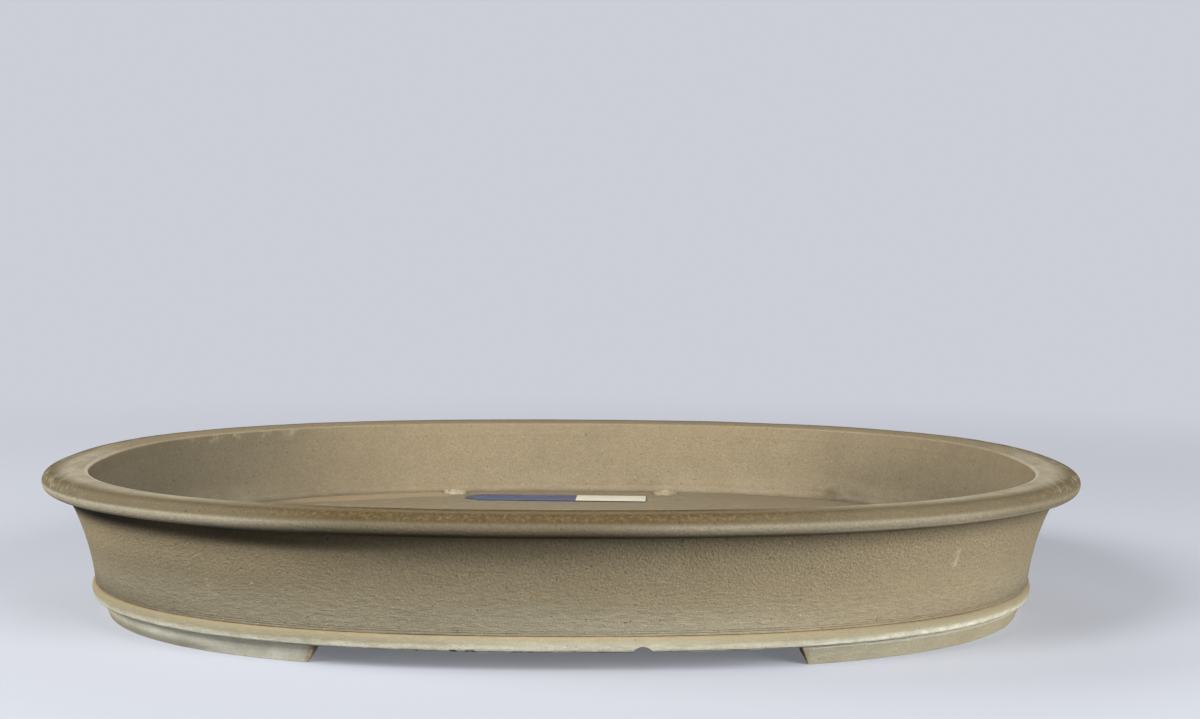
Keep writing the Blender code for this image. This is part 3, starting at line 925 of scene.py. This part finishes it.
class BONSAI_POT_OT_floor(PieceStep, bpy.types.Operator):
    """Floor slab with drain holes and wire holes"""

    bl_idname = "bonsai_pot.floor"
    bl_label = "Floor slab"

    def execute(self, context):
        sizes, colours = self.settings(context)
        slab = stack("pot_floor", [plan_line(sizes.stations, inset, height)
                                   for inset, height in ((SLAB_EDGE_INSET, FLOOR_UNDERSIDE),
                                                         (SLAB_EDGE_INSET, BAND_TOP),
                                                         (SLAB_TOP_INSET, FLOOR_TOP))])
        for side in (-1, 1):
            carve(slab, self.hole(HOLES_CENTRE_X + side * DRAIN_X, 0.0, DRAIN_RADIUS, 0.0012))
            for end in (-1, 1):
                carve(slab, self.hole(HOLES_CENTRE_X + side * WIRE_HOLE_X, end * WIRE_HOLE_Y,
                                      WIRE_HOLE_RADIUS, 0.0004))
        complete(slab, 30.0, floor_finish(colours), "floor_clay", "floor_slab")
        return {"FINISHED"}

    def hole(self, x, y, radius, softness):
        """A cutter that flares at both ends, so that the hole's edges come out rounded."""
        flare = ((1.3, -0.3), (0.60, 0.15), (0.22, 0.45), (0.0, 1.0))
        levels = [(radius + softness * out, FLOOR_UNDERSIDE + softness * depth)
                  for out, depth in flare]
        levels += [(radius + softness * out, FLOOR_TOP - softness * depth)
                   for out, depth in reversed(flare)]
        turns = [math.tau * step / 72 for step in range(72)]
        return stack("hole", [[Vector((x + r * math.cos(t), y + r * math.sin(t), z))
                               for t in turns] for r, z in levels])


class BONSAI_POT_OT_wall(PieceStep, bpy.types.Operator):
    """Flaring wall with a cove inside"""

    bl_idname = "bonsai_pot.wall"
    bl_label = "Wall"

    def execute(self, context):
        sizes, colours = self.settings(context)
        wall = ring("wall_shell", wall_section(), ("seat", "heel"), sizes)
        complete(wall, SMOOTH_ANGLE, wall_finish(colours), "unglazed_clay", "wall")
        return {"FINISHED"}


class BONSAI_POT_OT_rim(PieceStep, bpy.types.Operator):
    """Outturned rim with a round nose and a low crown"""

    bl_idname = "bonsai_pot.rim"
    bl_label = "Rim"

    def execute(self, context):
        sizes, colours = self.settings(context)
        rim = ring("outturned_rim", rim_section(), ("seat",), sizes, press=0.7)
        complete(rim, SMOOTH_ANGLE, rim_finish(colours), "rim_clay", "rim")
        return {"FINISHED"}


class BONSAI_POT_OT_band(PieceStep, bpy.types.Operator):
    """Base band with the chips along its lower edge"""

    bl_idname = "bonsai_pot.band"
    bl_label = "Base band"

    def execute(self, context):
        sizes, colours = self.settings(context)
        band = ring("clay_band", band_section(), ("back",), sizes, press=0.6, spread=0.6)
        half = sizes.chip_width / 2
        carve(band, chip_cutter((NOTCH_X, -0.1995, 0.0104), (half, 0.0060, 0.0042), 0.2))
        for x, reach in BAND_PITS:
            y = -math.sqrt(1.0 - (x / HALF_LENGTH) ** 2) * BAND_EDGE_HALF_WIDTH
            carve(band, chip_cutter((x, y, BAND_BOTTOM + 0.0002),
                                    (reach * 1.3, reach * 1.2, reach * 0.8), x * 40.0))
        complete(band, SMOOTH_ANGLE, band_finish(colours), "band_clay", "base_band")
        return {"FINISHED"}


class BONSAI_POT_OT_feet(PieceStep, bpy.types.Operator):
    """Two end feet, cut on a slant at the arches"""

    bl_idname = "bonsai_pot.feet"
    bl_label = "Feet"

    def execute(self, context):
        sizes, colours = self.settings(context)
        slant = ARCH_HALF_AT_GROUND - ARCH_HALF_AT_BAND
        for name, node, side, reach, lean, raw, pale in (
                ("end_foot_left", "foot_left", -1, 0.0336, 0.0010, 0.75, 1.00),
                ("end_foot_right", "foot_right", 1, 0.0326, 0.0, 0.35, 0.18)):
            section = foot_section(reach, lean)
            start = -0.25 if side > 0 else 0.25
            steps = sizes.stations // 2
            path = plan_line(steps, first=start, last=start + 0.5)
            path.append(plan_place(math.tau * (start + 0.5), 0.0, 0.0))
            for place in path:
                place.x *= FOOT_STRETCH
            foot = sweep(name, section, path, False)
            take(foot)
            open_mesh()
            ground_x = ARCH_CENTRE_X + side * (ARCH_HALF_AT_GROUND + sizes.foot_edge)
            outwards = Vector((side * BAND_BOTTOM, 0.0, slant)).normalized()
            bpy.ops.mesh.bisect(plane_co=(ground_x, 0.0, 0.0), plane_no=outwards,
                                use_fill=True, clear_inner=True, threshold=0.000002)
            bpy.ops.mesh.select_mode(type="FACE")
            bpy.ops.mesh.select_all(action="DESELECT")
            bpy.ops.object.mode_set(mode="OBJECT")
            for face in foot.data.polygons:
                face.select = abs(face.normal.dot(outwards)) > 0.999 and len(face.vertices) > 8
            bpy.ops.object.mode_set(mode="EDIT")
            for inwards, out in ((0.05, 0.20), (0.09, 0.12), (0.12, 0.06)):
                bpy.ops.mesh.inset(thickness=sizes.foot_edge * inwards,
                                   depth=sizes.foot_edge * out)
            close_mesh()
            for vertex in foot.data.vertices:
                vertex.co.z = max(vertex.co.z, CAD_LOW.z)
            for place, size, turn in FOOT_CHIPS[node]:
                carve(foot, chip_cutter(place, size, turn))
            finish = foot_finish(name + "_clay", colours, raw, pale)
            complete(foot, SMOOTH_ANGLE, finish, "foot_clay", node)
        return {"FINISHED"}


class BONSAI_POT_OT_wire_holes(PieceStep, bpy.types.Operator):
    """Torn clay that stands round each wire hole"""

    bl_idname = "bonsai_pot.wire_holes"
    bl_label = "Wire hole rims"

    def execute(self, context):
        sizes, colours = self.settings(context)
        finish = crumb_finish(colours)
        clouds = cloud_texture("crumbs", 0.0035, 2)
        corners = [(sx, sy) for sy in (1, -1) for sx in (-1, 1)]
        for number, (side, end) in enumerate(corners, 1):
            leave_alone()
            x = HOLES_CENTRE_X + side * WIRE_HOLE_X
            bpy.ops.mesh.primitive_torus_add(
                major_radius=WIRE_HOLE_RADIUS + 0.0004, minor_radius=0.0013,
                major_segments=56, minor_segments=16,
                location=(x, end * WIRE_HOLE_Y, FLOOR_TOP + 0.0004))
            crumb = context.object
            crumb.name = f"wire_hole_rim_{number}"
            open_mesh()
            bpy.ops.transform.resize(value=(1.0, 1.0, 0.9))
            bpy.ops.object.mode_set(mode="OBJECT")
            bpy.ops.object.transform_apply()
            modify(crumb, "DISPLACE", texture=clouds, texture_coords="LOCAL", mid_level=0.35,
                   strength=sizes.crumb_height)
            floor_line = FLOOR_TOP - 0.0002
            for vertex in crumb.data.vertices:
                vertex.co.z = max(vertex.co.z, floor_line)
            complete(crumb, 60.0, finish, "floor_clay")
        return {"FINISHED"}


class BONSAI_POT_OT_label(PieceStep, bpy.types.Operator):
    """Plastic plant label with a blunt point, and its paper sticker"""

    bl_idname = "bonsai_pot.label"
    bl_label = "Plant label"

    def execute(self, context):
        sizes, colours = self.settings(context)
        end, side = TAG_LENGTH / 2, TAG_WIDTH / 2
        shoulder, blunt = TAG_POINT[0] - end, TAG_POINT[1]
        outline = [(end, -side), (end, side), (shoulder, side), (-end, blunt), (-end, -blunt),
                   (shoulder, -side)]
        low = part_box("plant_tag")[0].z
        high = low + TAG_THICKNESS
        label = self.plate("plant_label", outline, low, high, sizes.tag_edge)
        complete(label, 35.0, label_finish(colours), "tag_plastic", "plant_tag")
        right, side = end + STICKER_OVERHANG, STICKER_WIDTH / 2
        left = right - STICKER_LENGTH
        outline = [(left, -side), (right, -side), (right, side), (left, side)]
        paper = self.plate("paper_sticker", outline, high, high + STICKER_THICKNESS,
                           STICKER_THICKNESS * 0.4)
        complete(paper, 35.0, paper_finish(colours), "sticker_paper", "tag_sticker")
        return {"FINISHED"}

    def plate(self, name, outline, low, high, edge):
        """A thin plate with rounded edges, turned as the label lies on the floor."""
        curve = curve_through(name, [(x, y, 0.0) for x, y in outline], True, True)
        curve.data.fill_mode = "BOTH"
        curve.data.extrude = (high - low) / 2 - edge
        curve.data.bevel_depth = edge
        curve.data.bevel_resolution = 2
        curve.data.offset = -edge
        curve.location = (*TAG_MIDDLE, (low + high) / 2)
        curve.rotation_euler = (0.0, 0.0, TAG_TURN)
        return as_mesh(curve)


class BONSAI_POT_OT_stage(PieceStep, bpy.types.Operator):
    """Pale floor, soft studio light and the camera"""

    bl_idname = "bonsai_pot.stage"
    bl_label = "Stage"

    def execute(self, context):
        colours = self.settings(context)[1]
        backdrop = (*colours.backdrop, 1.0)
        leave_alone()
        bpy.ops.mesh.primitive_circle_add(vertices=96, radius=FLOOR_RADIUS, fill_type="NGON",
                                          location=(0.0, 0.0, CAD_LOW.z))
        ground = context.object
        ground.name = "pale_floor"
        bpy.ops.object.transform_apply()
        ground.data.materials.append(self.ground_finish(backdrop))
        for name, azimuth, elevation, size, power in LAMPS:
            self.lamp(name, math.radians(azimuth), math.radians(elevation), size, power)
        self.world(context.scene, backdrop)
        self.camera(context.scene)
        context.scene.view_settings.view_transform = "Standard"
        return {"FINISHED"}

    def lamp(self, name, azimuth, elevation, size, power):
        """A round soft lamp that looks at the pot."""
        place = Vector((math.sin(azimuth) * math.cos(elevation),
                        -math.cos(azimuth) * math.cos(elevation),
                        math.sin(elevation))) * LAMP_DISTANCE
        leave_alone()
        bpy.ops.object.light_add(type="AREA", location=place)
        lamp = bpy.context.object
        lamp.name = name
        lamp.data.shape = "DISK"
        lamp.data.size = size
        lamp.data.energy = power
        aim = Vector((0.0, 0.0, POT_HEIGHT / 2)) - place
        lamp.rotation_euler = aim.to_track_quat("-Z", "Y").to_euler()

    def ground_finish(self, backdrop):
        """Pale where it is seen, with the pot's shadow, and it runs out into the backdrop."""
        finish = bpy.data.materials.new("pale_floor")
        finish.use_nodes = True
        nodes = Nodes(finish.node_tree)
        thrown = nodes.node("ShaderNodeBsdfDiffuse", {}, {"Color": (0.07, 0.07, 0.07, 1.0)})
        pale = nodes.node("ShaderNodeBsdfDiffuse", {}, {"Color": (0.40, 0.415, 0.455, 1.0)})
        glow = nodes.node("ShaderNodeEmission", {}, {"Color": backdrop, "Strength": NEAR_GLOW})
        near = nodes.node("ShaderNodeAddShader", {}, [pale, glow])
        far = nodes.node("ShaderNodeEmission", {}, {"Color": backdrop})
        place = nodes.node("ShaderNodeTexCoord", {}, {}, "Object")
        distance = nodes.node("ShaderNodeVectorMath", {"operation": "LENGTH"}, [place], "Value")
        seen = nodes.node("ShaderNodeMixShader", {}, [distance.rise(*FLOOR_FADE), near, far])
        nodes.shows(nodes.node("ShaderNodeMixShader", {}, [nodes.seen_directly(), thrown, seen]),
                    "Material Output")
        return finish

    def world(self, scene, backdrop):
        """Pale surround to the camera, and very little light on the pot."""
        scene.world = bpy.data.worlds.new("studio")
        scene.world.use_nodes = True
        nodes = Nodes(scene.world.node_tree)
        dim = nodes.node("ShaderNodeBackground", {}, {"Color": (1.0, 1.0, 1.0, 1.0),
                                                      "Strength": WORLD_LIGHT})
        pale = nodes.node("ShaderNodeBackground", {}, {"Color": backdrop})
        nodes.shows(nodes.node("ShaderNodeMixShader", {}, [nodes.seen_directly(), dim, pale]),
                    "World Output")

    def camera(self, scene):
        """The camera of the photograph."""
        data = bpy.data.cameras.new("camera")
        data.sensor_width = SENSOR_WIDTH
        data.lens = CAMERA_LENS
        camera = bpy.data.objects.new("camera", data)
        scene.collection.objects.link(camera)
        camera.matrix_world = (Matrix.Translation(CAMERA_PLACE)
                               @ Matrix.Rotation(-CAMERA_YAW, 4, "Z")
                               @ Matrix.Rotation(math.pi / 2 - CAMERA_PITCH, 4, "X")
                               @ Matrix.Rotation(CAMERA_ROLL, 4, "Z"))
        scene.camera = camera


class BONSAI_POT_PT_sidebar(bpy.types.Panel):
    """Steps and settings of the pot"""

    bl_label = "Bonsai pot"
    bl_space_type = "VIEW_3D"
    bl_region_type = "UI"
    bl_category = "Bonsai pot"

    def draw(self, context):
        column = self.layout.column()
        for step in STEPS:
            column.operator(step.bl_idname)
        for settings in (context.scene.pot_sizes, context.scene.pot_colours):
            for name in type(settings).__annotations__:
                column.prop(settings, name)


STEPS = (BONSAI_POT_OT_stage, BONSAI_POT_OT_floor, BONSAI_POT_OT_wire_holes,
         BONSAI_POT_OT_wall, BONSAI_POT_OT_rim, BONSAI_POT_OT_band, BONSAI_POT_OT_feet,
         BONSAI_POT_OT_label)
CLASSES = (PotSizes, PotColours, *STEPS, BONSAI_POT_PT_sidebar)


def register():
    """Add the classes and the settings to Blender."""
    for item in CLASSES:
        bpy.utils.register_class(item)
    bpy.types.Scene.pot_sizes = bpy.props.PointerProperty(type=PotSizes)
    bpy.types.Scene.pot_colours = bpy.props.PointerProperty(type=PotColours)


def unregister():
    """Take them out again."""
    del bpy.types.Scene.pot_colours
    del bpy.types.Scene.pot_sizes
    for item in reversed(CLASSES):
        bpy.utils.unregister_class(item)


def main():
    """Build the pot and its stage."""
    register()
    for step in STEPS:
        group, name = step.bl_idname.split(".")
        getattr(getattr(bpy.ops, group), name)()


if __name__ == "__main__":
    main()
